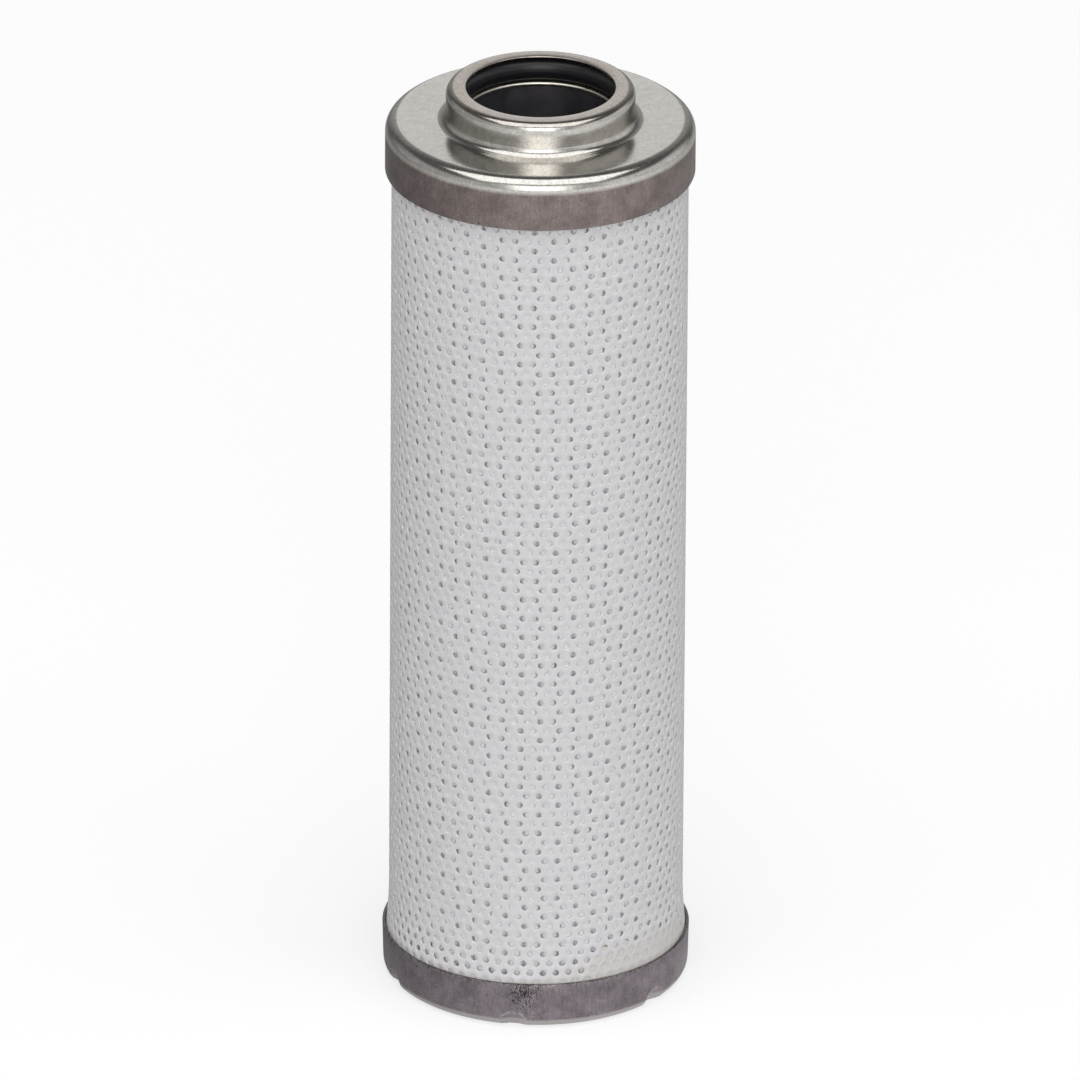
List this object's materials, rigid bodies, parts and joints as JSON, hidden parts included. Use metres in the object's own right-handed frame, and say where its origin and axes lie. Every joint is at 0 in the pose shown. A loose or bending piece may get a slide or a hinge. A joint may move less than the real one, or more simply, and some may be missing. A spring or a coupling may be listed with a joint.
{
  "type": "hydraulic filter element",
  "caption": "Pleated glass-fibre filter element under a white perforated sleeve, with a closed steel bottom cap and an open top cap whose neck holds a rubber seal.",
  "frame": {"origin": "middle of the flat base of the bottom end cap, on which the element stands", "axes": "+Z along the element's axis towards the open neck, -Y towards the front that the picture shows, +X to its right"},
  "size_m": [0.047, 0.047, 0.147],
  "materials": {
    "cap_steel": "satin tin-plated sheet",
    "ring_steel": "bright pressed sheet",
    "core_steel": "dull punched sheet",
    "clip_steel": "plain strip",
    "seal_rubber": "moulded nitrile rubber",
    "sleeve_film": "white perforated film",
    "mesh_coating": "epoxy-coated wire cloth",
    "glass_fibre": "white glass-fibre mat",
    "polyester_fleece": "white spun fleece",
    "potting": "cured cream adhesive"
  },
  "bodies": {
    "root": {"top_end_cap": "cap_steel", "bottom_end_cap": "cap_steel", "neck_seal_ring": "seal_rubber", "seal_support_ring": "ring_steel", "core_tube": "core_steel", "outer_wrap": "sleeve_film", "outer_support_mesh": "mesh_coating", "prefilter_layer": "glass_fibre", "glass_fibre_media": "glass_fibre", "backing_fleece": "polyester_fleece", "inner_support_mesh": "mesh_coating", "pleat_seam_clip": "clip_steel", "top_adhesive": "potting", "bottom_adhesive": "potting"}
  },
  "joints": []
}
